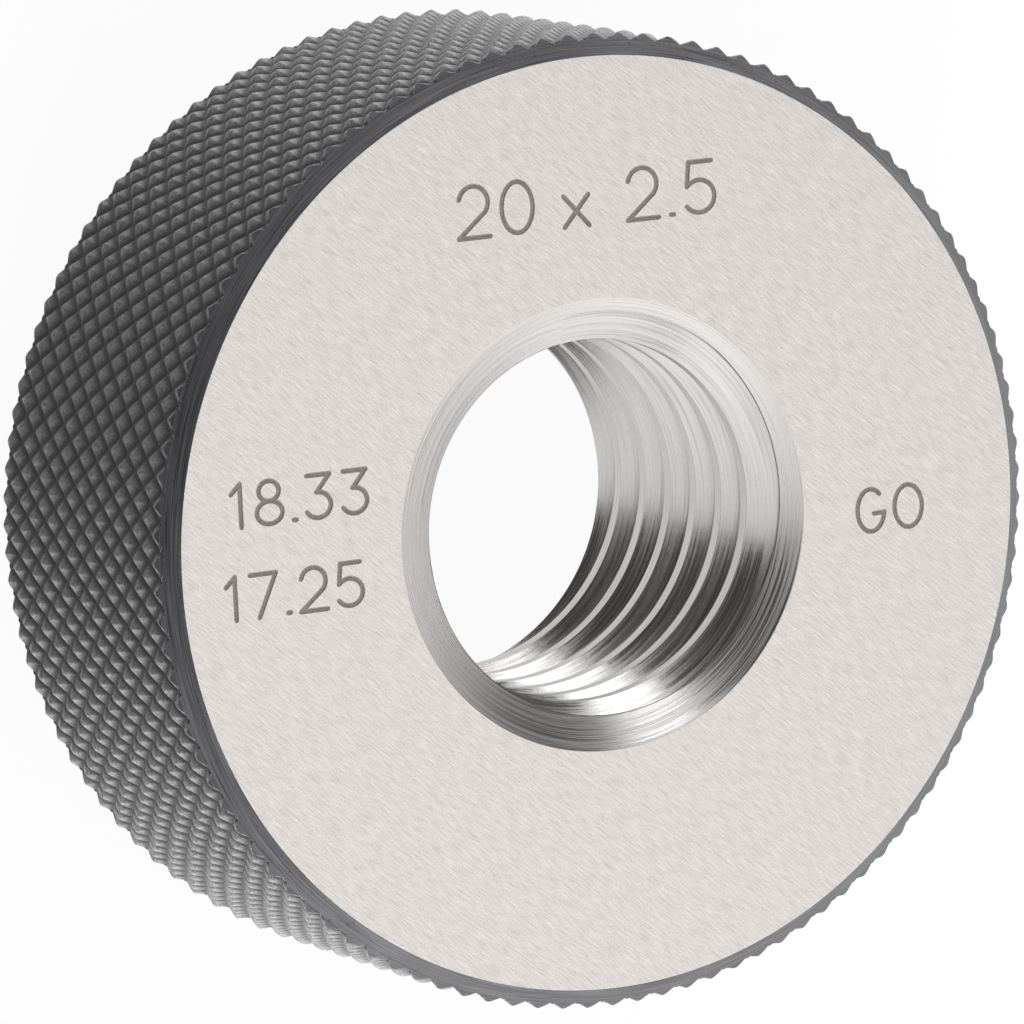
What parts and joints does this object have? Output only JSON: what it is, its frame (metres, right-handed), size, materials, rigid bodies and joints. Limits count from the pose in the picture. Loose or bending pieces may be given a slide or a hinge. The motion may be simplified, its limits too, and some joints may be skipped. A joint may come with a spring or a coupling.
{
  "type": "thread ring gauge",
  "caption": "Solid GO thread ring gauge: a steel ring with a right-hand metric thread through it, ground faces, chamfered rims and a diamond-knurled grip.",
  "frame": {"origin": "centre of the back face, on the thread's axis", "axes": "+Z along the thread's axis, out of the marked face; +X the way the marks read"},
  "size_m": [0.046, 0.046, 0.018],
  "materials": {
    "ground_steel": "bright ground faces and bore, black oxide on the knurl and the rim chamfers"
  },
  "bodies": {
    "root": {"gauge_ring": "ground_steel"}
  },
  "joints": []
}
